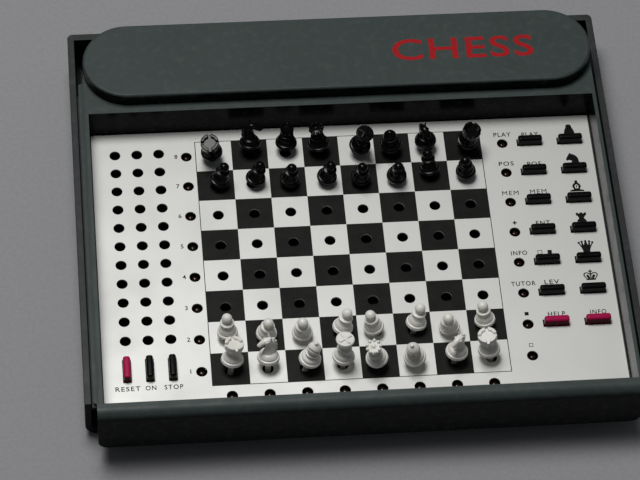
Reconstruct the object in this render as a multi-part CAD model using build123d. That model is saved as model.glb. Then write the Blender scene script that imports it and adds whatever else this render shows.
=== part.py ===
"""Travel chess computer with peg chessmen, its slide-off cover stowed underneath."""
from build123d import *
from math import atan, atan2, cos, degrees, hypot, radians, sin, tan
import os

os.makedirs("parts", exist_ok=True)

# Driving dimensions, millimetres. X runs right, Y away from the player, Z up.
# The origin is the middle of the whole object's footprint, on the table.
SQUARE = 14.8                  # pitch of the playing squares
BOARD_X = -61.0                # left edge of the playing squares
BOARD_Y = -76.7                # front edge of the playing squares
PEG_HOLE = 4.5                 # diameter of every hole in the panel
DECK_HOLE = 4.9                # the same holes in the deck under the panel
STORE_PITCH = 9.0              # grid of the captured-piece holes
STORE_ROWS = 11
STORE_COLUMNS = 3
STORE_X = -94.2                # first column of captured-piece holes
STORE_Y = 36.4                 # rearmost row of captured-piece holes
RANK_LED_X = -64.9
FILE_LED_Y = -80.9
FUNCTION_LED_X = 66.5

COVER_HALF = 111.5             # half width of the stowed cover
COVER_FRONT = -84.7
COVER_REAR = 96.35
COVER_WALL = 2.8
COVER_REAR_WALL = 3.15
COVER_FLOOR = 3.0
COVER_RIM = 22.9
COVER_CORNER = 6.0             # outer radius between cover wall and floor
COVER_REAR_CORNER = 2.2        # outer radius of the upright rear corners
LEDGE_TOP = 20.2               # inner ledge that carries the body's rails
LEDGE_THICK = 1.5
LEDGE_WIDE = 2.3
LEDGE_REAR = 66.0

BODY_HALF = 105.7
BODY_BOTTOM = 8.9
SEAM = 11.8                    # where the two shells meet
RIM_TOP = 32.6
HUMP_TOP = 38.8
HUMP_FRONT = 51.1
HUMP_REAR = 87.8
HUMP_MIDDLE = (HUMP_FRONT + HUMP_REAR) / 2
HUMP_EDGE = 1.2                # rounding of the hump's top edge
SHELL = 1.9
WELL_HALF = 104.3
WELL_REAR = 47.4
BAR_FRONT = -96.35
BAR_REAR = -90.4
BAR_HALF = 106.7
BAR_ROUND = 4.0
BAR_SKIN = 2.0                 # wall of the hollow bar: front, back, top and ends
BAR_BACK = 1.4
BAR_ROOF = 2.4
BAR_END = 4.0
RAIL_OUT = 107.9
RAIL_FRONT = -84.0
RAIL_REAR = 71.0
RAIL_THICK = 1.5
RAIL_GAP = 0.1
RAIL_CORNER = 1.2
RIDGE = 0.5                    # fine ridges along the body sides
RIDGE_TALL = 0.8
RIDGE_REAR = 68.0
RIDGE_HEIGHTS = (25.0, 28.5)
MARK_X = 70.2                  # curved finger mark on the front bar
MARK_Z = 24.0
MARK_RADIUS = 6.0
MARK_GROOVE = 0.45
MARK_HALF = 3.2                # half width of the part of the ring that shows

PANEL_TOP = 17.8
PANEL_THICK = 0.8
PANEL_HALF = 103.7
PANEL_FRONT = -90.0
PANEL_REAR = 47.0
DECK_THICK = 2.0

BOARD_TOP = 12.0               # circuit board
BOARD_THICK = 1.2
LED_RADIUS = 1.5
LED_TOP = 17.4

KEY_COLUMNS = (77.9, 94.7)
KEY_FRONT_Y = -67.5            # middle of the three keys at the front left
KEY_LONG = 10.2
KEY_WIDE = 3.0
KEY_PROUD = 4.0
KEY_CROWN = 1.0                # rounding of a key's top edges
KEY_SLACK = 0.25               # gap all round a key in the panel
DECK_SLACK = 0.35              # the same gap in the deck
KEY_FLANGE = 1.1               # how far the flange stands out under the deck
KEY_PLUNGER = 12.9

FLOOR_TOP = 10.5
DOOR_HALF = 77.0
DOOR_FRONT = 53.5
DOOR_THICK = 1.5
DOOR_GAP = 0.3
DOOR_GRIP = 0.4                # depth of the finger grooves in the door
TAB_WIDE = 2.5
TAB_LONG = 4.0
TAB_PLACES = (57.0, 74.0)
RIB_X = 80.2                   # upright walls at the ends of the battery bay
RIB_THICK = 1.6
CELL_RADIUS = 7.1
CELL_LENGTH = 49.5
CELL_PITCH = 50.5
CELL_ROW_Y = (61.5, 76.5)
CONTACT_X = 78.0

SCREW_RADIUS = 1.3
SCREW_HEAD = 2.4
SCREW_LENGTH = 5.5
SCREW_BOSS = 3.0
SCREW_PLACES = ((-99.0, -82.0), (0.0, -92.2), (99.0, -82.0), (-94.0, 48.0), (94.0, 48.0))
FOOT_RADIUS = 5.0
FOOT_HEIGHT = 1.6
FOOT_PLACES = ((-88.0, -78.0), (88.0, -78.0), (-88.0, 70.0), (88.0, 70.0))

PEG_RADIUS = 1.2
PEG_DEPTH = 5.0                # how far a peg reaches below the panel's face
PEG_PIVOT = 3.0                # depth at which a leaning peg crosses its hole's axis
PEG_SIDE_PLAY = 0.72

# Turned outlines: radius and height above the piece's underside. STANDS is how far that
# underside stays above the panel while the peg stands in its hole.
OUTLINES = {
    "pawn": ((4.1, 0.0), (4.1, 1.0), (3.5, 1.5), (3.3, 3.0), (2.4, 5.3), (2.8, 5.7), (2.8, 6.3),
             (1.6, 6.9), (2.1, 8.1), (2.1, 9.3), (1.5, 10.4), (0.6, 10.8)),
    "rook": ((4.4, 0.0), (4.4, 1.1), (3.7, 1.6), (3.4, 2.8), (2.4, 4.8), (2.5, 5.8), (3.7, 6.8),
             (3.8, 9.8)),
    "knight": ((4.4, 0.0), (4.4, 1.1), (3.8, 1.5), (3.6, 2.6), (2.9, 3.4)),
    "bishop": ((4.4, 0.0), (4.4, 1.1), (3.7, 1.6), (3.4, 2.7), (2.3, 3.7), (2.8, 4.3), (2.8, 4.9),
               (1.9, 5.4), (2.8, 7.1), (2.5, 8.9), (1.2, 10.7), (0.8, 11.7)),
    "queen": ((4.4, 0.0), (4.4, 1.1), (3.7, 1.6), (3.4, 2.8), (2.2, 4.2), (2.8, 5.2), (2.0, 6.0),
              (2.3, 8.2), (3.1, 10.5), (2.2, 10.8), (1.0, 11.5)),
    "king": ((4.4, 0.0), (4.4, 1.1), (3.7, 1.6), (3.4, 2.8), (2.3, 5.0), (3.0, 6.0), (2.2, 6.8),
             (2.5, 8.8), (3.7, 10.8), (3.6, 11.8)),
}
STANDS = {"pawn": 3.2, "rook": 5.0, "knight": 5.0, "bishop": 5.0, "queen": 5.0, "king": 5.0}
KNIGHT_HEAD = ((-3.3, 2.4), (-3.5, 5.2), (-2.8, 8.5), (-1.0, 11.0), (0.2, 12.1), (1.0, 11.1),
               (3.0, 10.0), (4.9, 8.1), (4.6, 7.1), (3.5, 6.9), (1.9, 7.5), (1.2, 6.5), (2.6, 4.4),
               (3.3, 2.4))
KNIGHT_THICK = 3.0

# Each chessman stands in its hole as a loose peg does: how many degrees it leans right and away.
BACK_RANK = ("rook", "knight", "bishop", "queen", "king", "bishop", "knight", "rook")
WHITE_BACK_RANK = ("rook", "knight", "bishop", "king", "queen", "bishop", "knight", "rook")
LEANS = {
    "black": {8: ((-7, -11), (1, 13), (2, 10), (-8, 2), (7, -10), (-7, -10), (-9, -3), (8, -9)),
              7: ((12, 2), (12, 2), (4, -6), (9, -4), (1, -10), (1, -12), (-8, 11), (-7, -6))},
    "white": {2: ((-2, 7), (3, -5), (-2, -7), (10, 6), (-12, 1), (8, 9), (-8, -11), (-10, 8)),
              1: ((5, 12), (1, 13), (11, 2), (1, 5), (-11, -5), (-10, -7), (4, 3), (-9, 6))},
}
KNIGHT_FACES = {"b1": 197.0, "g1": 225.0, "b8": -8.0, "g8": -64.0}   # degrees from +X
FILES = "abcdefgh"
FAR = 200.0                    # beyond the object on every side


def block(x0, x1, y0, y1, z0, z1):
    """A box given by its six faces."""
    return Pos((x0 + x1) / 2, (y0 + y1) / 2, (z0 + z1) / 2) * Box(x1 - x0, y1 - y0, z1 - z0)


def disc(x, y, z0, z1, radius):
    """An upright cylinder."""
    return Pos(x, y, (z0 + z1) / 2) * Cylinder(radius, z1 - z0)


def turned(outline):
    """A solid of revolution about Z from its outline of radius and height."""
    line = ((0.0, outline[0][1]), *outline, (0.0, outline[-1][1]))
    return revolve(Plane.XZ * make_face(Polyline(*line, close=True)), Axis.Z)


def square_centre(file, rank):
    """The hole in the middle of a playing square."""
    return (BOARD_X + (file + 0.5) * SQUARE, BOARD_Y + (rank + 0.5) * SQUARE)


def peg_places():
    """The playing squares' holes and the captured pieces' holes."""
    squares = [square_centre(file, rank) for file in range(8) for rank in range(8)]
    stores = [(STORE_X + column * STORE_PITCH, STORE_Y - row * STORE_PITCH)
              for column in range(STORE_COLUMNS) for row in range(STORE_ROWS)]
    return squares + stores


def led_places():
    """Lamps beside the ranks, before the files and beside the keys."""
    places = []
    for step in range(8):
        along_x, along_y = square_centre(step, step)
        places += [(RANK_LED_X, along_y), (along_x, FILE_LED_Y), (FUNCTION_LED_X, along_y)]
    return places


def key_places():
    """Each key's name, centre and length along X and Y."""
    left_column = ("play", "position", "memory", "enter", "side", "level", "help")
    right_column = ("pawn", "knight", "bishop", "rook", "queen", "king", "info")
    places = {}
    for x, names in zip(KEY_COLUMNS, (left_column, right_column)):
        for row, name in enumerate(names):
            places[name] = (x, square_centre(0, 7 - row)[1], KEY_LONG, KEY_WIDE)
    for column, name in enumerate(("reset", "on", "stop")):
        places[name] = (STORE_X + column * STORE_PITCH, KEY_FRONT_Y, KEY_WIDE, KEY_LONG)
    return places


def hump_plan(inset=0.0):
    """The hump's outline: straight front and rear with round ends."""
    return Pos(0, HUMP_MIDDLE) * SlotOverall(
        2 * (BODY_HALF - inset), HUMP_REAR - HUMP_FRONT - 2 * inset)


def body_plan(inset=0.0):
    """The body's outline: a square front, and the hump's round ends at the rear."""
    sides = Pos(0, (BAR_REAR + HUMP_MIDDLE) / 2) * Rectangle(
        2 * (BODY_HALF - inset), HUMP_MIDDLE - BAR_REAR)
    return sides + hump_plan(inset)


def bar(z0, z1):
    """The part of the raised front bar between two heights."""
    solid = block(-BAR_HALF, BAR_HALF, BAR_FRONT, BAR_REAR, BODY_BOTTOM, RIM_TOP)
    long_edges = solid.edges().filter_by(Axis.X).group_by(Axis.Z)
    solid = fillet(long_edges[-1].sort_by(Axis.Y)[0], BAR_ROUND)
    ends = solid.edges().filter_by(Axis.Y).group_by(Axis.Z)[0]
    solid = fillet(ends, BAR_ROUND)
    return solid & block(-FAR, FAR, BAR_FRONT - 1, BAR_REAR + 1, z0, z1)


def bar_hollow(z0, z1):
    """The room inside the front bar between two heights."""
    half = BODY_HALF - BAR_END
    return block(-half, half, BAR_FRONT + BAR_SKIN, BAR_REAR - BAR_BACK, z0, z1)


def key_slots(z0, z1, slack):
    """The openings that the keys pass through."""
    slots = []
    for x, y, long, wide in key_places().values():
        half_x = long / 2 + slack
        half_y = wide / 2 + slack
        slots.append(block(x - half_x, x + half_x, y - half_y, y + half_y, z0, z1))
    return slots


def make_top_housing():
    """Upper shell: deck, side walls, front bar and hump, open underneath."""
    deck_top = PANEL_TOP - PANEL_THICK
    deck_under = deck_top - DECK_THICK
    hump = Pos(0, 0, SEAM) * extrude(hump_plan(), HUMP_TOP - SEAM)
    hump = fillet(hump.faces().sort_by(Axis.Z)[-1].edges(), HUMP_EDGE)
    shell = Pos(0, 0, SEAM) * extrude(body_plan(), RIM_TOP - SEAM) + hump + bar(SEAM, RIM_TOP)
    shell -= block(-WELL_HALF, WELL_HALF, BAR_REAR, WELL_REAR, deck_top, RIM_TOP + 1)
    shell -= Pos(0, 0, SEAM - 1) * extrude(body_plan(SHELL), deck_under - SEAM + 1)
    shell -= Pos(0, 0, SEAM - 1) * extrude(hump_plan(SHELL), HUMP_TOP - SHELL - SEAM + 1)
    shell -= block(-BODY_HALF + SHELL, BODY_HALF - SHELL, WELL_REAR + SHELL, HUMP_MIDDLE,
                   SEAM - 1, RIM_TOP - SHELL)
    shell -= bar_hollow(SEAM - 1, RIM_TOP - BAR_ROOF)
    sunk = BODY_HALF - 0.5
    for side in (-1, 1):
        low = LEDGE_TOP + RAIL_GAP
        rail = block(sunk, RAIL_OUT, RAIL_FRONT, RAIL_REAR, low, low + RAIL_THICK)
        rail = fillet(rail.edges().filter_by(Axis.Z).sort_by(Axis.X)[-2:], RAIL_CORNER)
        for height in RIDGE_HEIGHTS:
            rail += block(sunk, BODY_HALF + RIDGE, BAR_REAR, RIDGE_REAR, height, height + RIDGE_TALL)
        rib = block(RIB_X, RIB_X + RIB_THICK, HUMP_FRONT + 1, HUMP_REAR - 1, SEAM + 0.3, RIM_TOP - 1)
        shell += (rail + rib) if side > 0 else mirror(rail + rib, Plane.YZ)
    centres = peg_places() + led_places()
    holes = [disc(x, y, deck_under - 1, deck_top + 1, DECK_HOLE / 2) for x, y in centres]
    shell -= holes + key_slots(deck_under - 1, deck_top + 1, DECK_SLACK)
    for x, y in SCREW_PLACES:
        shell += disc(x, y, SEAM, deck_under + 0.5, SCREW_BOSS)
        shell -= disc(x, y, SEAM - 1, BODY_BOTTOM + SCREW_LENGTH + 0.3, SCREW_RADIUS)
    ring = Rot(90, 0, 0) * Torus(MARK_RADIUS, MARK_GROOVE)
    ring = Pos(MARK_X, BAR_FRONT, MARK_Z - MARK_RADIUS) * ring
    left = MARK_X - MARK_HALF
    right = MARK_X + MARK_HALF
    return shell - (ring & block(left, right, BAR_FRONT - 1, BAR_REAR, MARK_Z - 2, MARK_Z + 1))


def make_bottom_housing():
    """Shallow lower tray that closes the body, with the battery opening at the rear."""
    tray = Pos(0, 0, BODY_BOTTOM) * extrude(body_plan(), SEAM - BODY_BOTTOM) + bar(BODY_BOTTOM, SEAM)
    tray -= Pos(0, 0, FLOOR_TOP) * extrude(body_plan(SHELL), SEAM)
    tray -= bar_hollow(FLOOR_TOP, SEAM + 1)
    half = DOOR_HALF + DOOR_GAP
    tray -= block(-half, half, DOOR_FRONT - DOOR_GAP, HUMP_REAR + 1, BODY_BOTTOM - 1, FLOOR_TOP)
    for x, y in SCREW_PLACES:
        tray += disc(x, y, FLOOR_TOP - 0.5, SEAM, SCREW_BOSS)
        tray -= disc(x, y, BODY_BOTTOM - 1, SEAM + 1, SCREW_RADIUS + 0.2)
        tray -= disc(x, y, BODY_BOTTOM - 1, BODY_BOTTOM + 1.4, SCREW_HEAD + 0.3)
    return tray


def make_battery_door():
    """Flat door under the hump that slides away from the player, held by four tabs."""
    door = block(-DOOR_HALF, DOOR_HALF, DOOR_FRONT, HUMP_REAR, BODY_BOTTOM, BODY_BOTTOM + DOOR_THICK)
    for side in (-1, 1):
        for y in TAB_PLACES:
            near = side * (DOOR_HALF - 1.2)
            edge = side * DOOR_HALF
            far = side * (DOOR_HALF + TAB_WIDE)
            top = FLOOR_TOP + 0.8
            door += block(min(near, far), max(near, far), y, y + TAB_LONG, FLOOR_TOP + 0.1, top)
            door += block(min(near, edge), max(near, edge), y, y + TAB_LONG, FLOOR_TOP - 0.6, top)
    for step in range(-4, 5):
        x = step * 3.0
        door -= block(x - 0.6, x + 0.6, 76.0, 83.0, BODY_BOTTOM - 1, BODY_BOTTOM + DOOR_GRIP)
    return door


def make_cover():
    """Slide-off cover: a shallow tray closed at the rear and open at the front."""
    def trough(half, rear, bottom, corner):
        top = 2 * COVER_RIM
        along = block(-half, half, -FAR, FAR, bottom, top)
        along = fillet(along.edges().filter_by(Axis.Y).group_by(Axis.Z)[0], corner)
        across = block(-FAR, FAR, -FAR, rear, bottom, top)
        lowest = across.edges().filter_by(Axis.X).group_by(Axis.Z)[0].sort_by(Axis.Y)[-1]
        across = fillet(lowest, corner)
        return along & across
    inner_half = COVER_HALF - COVER_WALL
    outer = trough(COVER_HALF, COVER_REAR, 0.0, COVER_CORNER)
    inner = trough(inner_half, COVER_REAR - COVER_REAR_WALL, COVER_FLOOR, COVER_CORNER - 2)
    plan = block(-COVER_HALF, COVER_HALF, COVER_FRONT, COVER_REAR, -1, COVER_RIM)
    plan = fillet(plan.edges().filter_by(Axis.Z).group_by(Axis.Y)[-1], COVER_REAR_CORNER)
    tray = (outer - inner) & plan
    low = LEDGE_TOP - LEDGE_THICK
    for side in (-1, 1):
        near = side * (inner_half - LEDGE_WIDE)
        far = side * (inner_half + 0.5)
        tray += block(min(near, far), max(near, far), COVER_FRONT, LEDGE_REAR, low, LEDGE_TOP)
    return tray


def make_panel():
    """Thin metal facing of the playing field with every hole and key slot."""
    low = PANEL_TOP - PANEL_THICK
    plate = block(-PANEL_HALF, PANEL_HALF, PANEL_FRONT, PANEL_REAR, low, PANEL_TOP)
    centres = peg_places() + led_places()
    holes = [disc(x, y, low - 1, PANEL_TOP + 1, PEG_HOLE / 2) for x, y in centres]
    return plate - (holes + key_slots(low - 1, PANEL_TOP + 1, KEY_SLACK))


def make_circuit_board():
    """Circuit board with its soldered packages."""
    low = BOARD_TOP - BOARD_THICK
    board = block(-102.0, 102.0, -88.0, 44.5, low, BOARD_TOP)
    for x, y in SCREW_PLACES:
        board -= disc(x, y, low - 1, BOARD_TOP + 1, SCREW_BOSS + 0.6)
    board += block(64.0, 90.0, -86.0, -74.0, BOARD_TOP - 0.2, BOARD_TOP + 2.2)
    board += disc(-85.0, -84.0, BOARD_TOP - 0.2, BOARD_TOP + 2.0, 3.0)
    return board


def make_leds():
    """Round lamps standing on the circuit board under the panel's holes."""
    lamp = disc(0, 0, BOARD_TOP, LED_TOP - LED_RADIUS, LED_RADIUS)
    lamp += Pos(0, 0, LED_TOP - LED_RADIUS) * Sphere(LED_RADIUS)
    return [Pos(x, y, 0) * lamp for x, y in led_places()]


def make_key(x, y, long, wide):
    """Key cap with a retaining flange under the deck and a plunger."""
    deck_under = PANEL_TOP - PANEL_THICK - DECK_THICK
    flange_top = deck_under - 0.1
    cap = block(-long / 2, long / 2, -wide / 2, wide / 2, flange_top - 0.5, PANEL_TOP + KEY_PROUD)
    cap = fillet(cap.faces().sort_by(Axis.Z)[-1].edges(), KEY_CROWN)
    half_x = long / 2 + KEY_FLANGE
    half_y = wide / 2 + KEY_FLANGE
    flange = block(-half_x, half_x, -half_y, half_y, flange_top - 1.1, flange_top)
    return Pos(x, y, 0) * (cap + flange + disc(0, 0, KEY_PLUNGER, flange_top - 0.5, 1.3))


def make_batteries():
    """Six penlight cells in two rows."""
    floor = BODY_BOTTOM + DOOR_THICK + 0.1
    body = Pos(0, 0, floor + CELL_RADIUS) * Rot(0, 90, 0) * Cylinder(CELL_RADIUS, CELL_LENGTH - 1.2)
    nub = Pos(CELL_LENGTH / 2 - 0.7, 0, floor + CELL_RADIUS) * Rot(0, 90, 0) * Cylinder(2.6, 1.4)
    cells = []
    for row, y in enumerate(CELL_ROW_Y):
        turn = Rot(0, 0, 180 * row)
        cells += [Pos(step * CELL_PITCH, y, 0) * turn * (body + nub) for step in (-1, 0, 1)]
    return cells


def make_contacts():
    """Spring-steel plates at the ends of the two rows of cells."""
    middle = BODY_BOTTOM + DOOR_THICK + 0.1 + CELL_RADIUS
    plates = []
    for side in (-1, 1):
        for y in CELL_ROW_Y:
            x = side * (CONTACT_X + 0.4)
            plates.append(block(x - 0.4, x + 0.4, y - 5.5, y + 5.5, middle - 5.5, middle + 7.0))
    return plates


def make_screws():
    """Self-tapping screws that hold the lower tray to the upper shell."""
    screws = []
    for x, y in SCREW_PLACES:
        low = BODY_BOTTOM + 0.2
        screw = disc(x, y, low, low + 1.1, SCREW_HEAD)
        screw += disc(x, y, low, BODY_BOTTOM + SCREW_LENGTH, SCREW_RADIUS - 0.02)
        screws.append(screw - block(x - 1.8, x + 1.8, y - 0.3, y + 0.3, low - 1, low + 0.5))
    return screws


def make_feet():
    """Round rubber feet under the body."""
    return [disc(x, y, BODY_BOTTOM - FOOT_HEIGHT, BODY_BOTTOM, FOOT_RADIUS) for x, y in FOOT_PLACES]


def make_chessman(kind, face=0.0):
    """One chessman upright at the origin, its underside at Z 0 and its peg below."""
    piece = turned(OUTLINES[kind]) + disc(0, 0, -STANDS[kind] - PEG_DEPTH, 0.5, PEG_RADIUS)
    if kind == "knight":
        head = make_face(Polyline(*KNIGHT_HEAD, close=True))
        piece += extrude(Plane.XZ * head, KNIGHT_THICK / 2, both=True)
    if kind == "rook":
        piece -= disc(0, 0, 8.6, 10.2, 2.5)
        for turn in (0, 90):
            piece -= Rot(0, 0, turn) * block(-4, 4, -0.6, 0.6, 8.6, 10.2)
    if kind == "king":
        for turn in (0, 90):
            piece += Rot(0, 0, turn) * block(-2.9, 2.9, -0.55, 0.55, 11.5, 12.4)
    if kind == "queen":
        piece += [Rot(0, 0, 40 * bead) * Pos(2.75, 0, 10.6) * Sphere(0.62) for bead in range(9)]
    return Rot(0, 0, face) * piece


def stand_chessman(piece, x, y, lean_right, lean_away, lift):
    """Lean an upright chessman in its hole, the middle of its underside at a height above the panel."""
    slope = hypot(tan(radians(lean_right)), tan(radians(lean_away)))
    lean = degrees(atan(slope))
    heading = degrees(atan2(tan(radians(lean_away)), tan(radians(lean_right))))
    pivot = min(PEG_PIVOT, PEG_SIDE_PLAY / slope)
    offset = (pivot + lift) * slope
    tilt = Rot(0, 0, heading) * Rot(0, lean, 0) * Rot(0, 0, -heading)
    foot = Pos(x + offset * cos(radians(heading)), y + offset * sin(radians(heading)), PANEL_TOP + lift)
    return foot * tilt * piece


def make_chessmen():
    """All chessmen on their starting squares, by name."""
    men = {}
    for colour, ranks in LEANS.items():
        for rank, leans in ranks.items():
            for file, (lean_right, lean_away) in enumerate(leans):
                square = FILES[file] + str(rank)
                kind = "pawn"
                if rank in (1, 8):
                    kind = (WHITE_BACK_RANK if rank == 1 else BACK_RANK)[file]
                upright = make_chessman(kind, KNIGHT_FACES.get(square, 0.0))
                x, y = square_centre(file, rank - 1)
                men[f"{colour}_{kind}_{square}"] = stand_chessman(
                    upright, x, y, lean_right, lean_away, STANDS[kind])
    return men


def as_one(shape):
    """A single shape to export, whatever the modelling calls returned."""
    solids = []
    for item in shape if isinstance(shape, list) else [shape]:
        solids += item.solids()
    return solids[0] if len(solids) == 1 else Compound(children=solids)


nodes = {
    "top_housing": make_top_housing(),
    "bottom_housing": make_bottom_housing(),
    "panel_plate": make_panel(),
    "cover": make_cover(),
    "battery_door": make_battery_door(),
    "circuit_board": make_circuit_board(),
    "leds": make_leds(),
    "batteries": make_batteries(),
    "battery_contacts": make_contacts(),
    "screws": make_screws(),
    "feet": make_feet(),
}
for key_name, key_place in key_places().items():
    nodes[f"key_{key_name}"] = make_key(*key_place)
nodes.update(make_chessmen())

for node_name, node_shape in nodes.items():
    export_step(as_one(node_shape), f"parts/{node_name}.step")
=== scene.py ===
"""Looks of the travel chess computer: shells, panel, keys, lamps and peg chessmen, on its CAD frame."""
import logging
import math
from dataclasses import dataclass, field
from enum import Enum
from typing import Sequence

import bmesh
import bpy
from mathutils import Matrix, Vector


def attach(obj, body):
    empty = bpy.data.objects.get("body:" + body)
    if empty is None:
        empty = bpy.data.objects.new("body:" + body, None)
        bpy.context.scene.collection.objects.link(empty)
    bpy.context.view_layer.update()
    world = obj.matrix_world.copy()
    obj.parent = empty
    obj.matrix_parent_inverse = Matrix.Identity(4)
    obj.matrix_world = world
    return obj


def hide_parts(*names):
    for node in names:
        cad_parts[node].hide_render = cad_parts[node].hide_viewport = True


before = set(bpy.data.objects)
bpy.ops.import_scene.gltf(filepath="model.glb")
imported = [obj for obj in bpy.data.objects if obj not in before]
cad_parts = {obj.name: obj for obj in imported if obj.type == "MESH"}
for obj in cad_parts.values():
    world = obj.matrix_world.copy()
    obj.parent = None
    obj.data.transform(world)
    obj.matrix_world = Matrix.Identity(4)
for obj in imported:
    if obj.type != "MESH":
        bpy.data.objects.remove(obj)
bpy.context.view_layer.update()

Colour = tuple[float, float, float]
Outline = tuple[tuple[float, float], ...]

MM = 0.001
LOG = logging.getLogger("chess_computer")

# Layout shared with the CAD source, millimetres.
SQUARE = 14.8
BOARD_X = -61.0
BOARD_Y = -76.7
SQUARES = 8
PANEL_TOP = 17.8
HUMP_TOP = 38.8
STORE_X = -94.2
STORE_PITCH = 9.0
RANK_LAMP_X = -64.9
FILE_LAMP_Y = -80.9
FUNCTION_LAMP_X = 66.5
FUNCTION_KEYS_X = 77.9
PIECE_KEYS_X = 94.7
POWER_KEYS_Y = -67.5
KEY_TOP = 21.8
LAMP_SEAT = 12.0
ALONG_CELL = "along"           # the attribute that runs along a cell

HOUSING = "housing"
QUARTER_TURN = Matrix.Rotation(math.pi / 2, 4, "Z")


class Slot(str, Enum):
    """The record's material slots."""

    HOUSING = "housing"
    COVER = "cover"
    PANEL = "panel"
    KEY_BLACK = "key_black"
    KEY_RED = "key_red"
    LAMP = "lamp"
    WHITE_MEN = "white_men"
    BLACK_MEN = "black_men"
    BOARD = "board"
    CELL = "cell"
    SPRING_STEEL = "spring_steel"
    SCREW = "screw"
    FOOT = "foot"


class Man(str, Enum):
    """The kinds of chessman."""

    PAWN = "pawn"
    ROOK = "rook"
    KNIGHT = "knight"
    BISHOP = "bishop"
    QUEEN = "queen"
    KING = "king"


# ---------------------------------------------------------------- finishes


class Recipe:
    """One material's node tree, built a node at a time."""

    def __init__(self, name: str) -> None:
        """Start an empty recipe.

        Args:
            name: The material's name.
        """
        self.material = bpy.data.materials.new(name)
        self.material.use_nodes = True
        self.nodes = self.material.node_tree.nodes
        self.links = self.material.node_tree.links
        self.shader = self.nodes["Principled BSDF"]
        coordinates = self.nodes.new("ShaderNodeTexCoord")
        self.place = coordinates.outputs["Object"]
        self.facing = coordinates.outputs["Normal"]

    def add(self, kind: str, inputs: dict, output: int = 0, **settings: object) -> bpy.types.NodeSocket:
        """Add a node.

        Args:
            kind: The node's type name.
            inputs: A value or a socket for each input, by name or number.
            output: The number of the output that is wanted.
            settings: The node's own properties.

        Returns:
            The wanted output.
        """
        node = self.nodes.new(kind)
        for key, value in settings.items():
            setattr(node, key, value)
        for key, value in inputs.items():
            self.feed(node.inputs[key], value)
        return node.outputs[output]

    def feed(self, socket: bpy.types.NodeSocket, value: object) -> None:
        """Link a socket to another, or set its value.

        Args:
            socket: The input.
            value: A socket, a number or a colour.
        """
        if isinstance(value, bpy.types.NodeSocket):
            self.links.new(value, socket)
        elif isinstance(value, tuple) and socket.type == "RGBA":
            socket.default_value = (*value, 1.0)
        else:
            socket.default_value = value

    def maths(self, operation: str, first: object, second: object = 0.0) -> bpy.types.NodeSocket:
        """A Math node's result.

        Args:
            operation: Its operation.
            first: Its first value.
            second: Its second value.

        Returns:
            The result's socket.
        """
        return self.add("ShaderNodeMath", {0: first, 1: second}, operation=operation)

    def blend(self, share: object, first: object, second: object) -> bpy.types.NodeSocket:
        """A colour between two others.

        Args:
            share: How much of the second.
            first: The first colour.
            second: The second colour.

        Returns:
            The mixed colour's socket.
        """
        return self.add("ShaderNodeMix", {0: share, 6: first, 7: second}, output=2, data_type="RGBA")

    def noise(self, size: float, detail: float = 3.0, stretch: tuple = (1.0, 1.0, 1.0)
              ) -> bpy.types.NodeSocket:
        """Noise whose patches are about a given size.

        Args:
            size: The patch size in millimetres.
            detail: How many finer octaves it has.
            stretch: How many times longer the patches are along each axis.

        Returns:
            The noise value's socket.
        """
        scale = tuple(1.0 / axis for axis in stretch)
        spot = self.add("ShaderNodeMapping", {"Vector": self.place, "Scale": scale})
        return self.add("ShaderNodeTexNoise", {"Vector": spot, "Scale": 1.0 / (size * MM), "Detail": detail})

    def span(self, value: object, low: float, high: float, start: float = 0.3,
             end: float = 0.7) -> bpy.types.NodeSocket:
        """A value stretched between two limits.

        Args:
            value: The value's socket.
            low: The result at the start.
            high: The result at the end.
            start: The value that gives low.
            end: The value that gives high.

        Returns:
            The stretched value's socket.
        """
        return self.add("ShaderNodeMapRange", {0: value, 1: start, 2: end, 3: low, 4: high})

    def specks(self, pitch: float, share: float, radius: float) -> bpy.types.NodeSocket:
        """Small scattered specks of dust.

        Args:
            pitch: The cell size of the scatter in millimetres.
            share: How many of the cells hold a speck.
            radius: A speck's radius as a share of its cell.

        Returns:
            A mask that is 1 on the specks.
        """
        cells = self.nodes.new("ShaderNodeTexVoronoi")
        self.feed(cells.inputs["Vector"], self.place)
        cells.inputs["Scale"].default_value = 1.0 / (pitch * MM)
        near = self.maths("LESS_THAN", cells.outputs["Distance"], radius)
        chosen = self.maths("GREATER_THAN", self.add("ShaderNodeSeparateColor", {0: cells.outputs["Color"]}),
                            1.0 - share)
        return self.maths("MULTIPLY", near, chosen)

    def relief(self, height: object, depth: float, under: object = None) -> bpy.types.NodeSocket:
        """A bump in the surface.

        Args:
            height: The height's socket, from 0 to 1.
            depth: The depth of the relief in millimetres.
            under: An earlier relief that this one adds to.

        Returns:
            The normal's socket.
        """
        inputs = {"Height": height, "Distance": depth * MM, "Strength": 1.0}
        if under is not None:
            inputs["Normal"] = under
        return self.add("ShaderNodeBump", inputs)

    def set(self, **inputs: object) -> bpy.types.Material:
        """Feed the shader.

        Args:
            inputs: Values or sockets by the input's name, with underscores for spaces.

        Returns:
            The finished material.
        """
        for key, value in inputs.items():
            self.feed(self.shader.inputs[key.replace("_", " ")], value)
        return self.material


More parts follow.
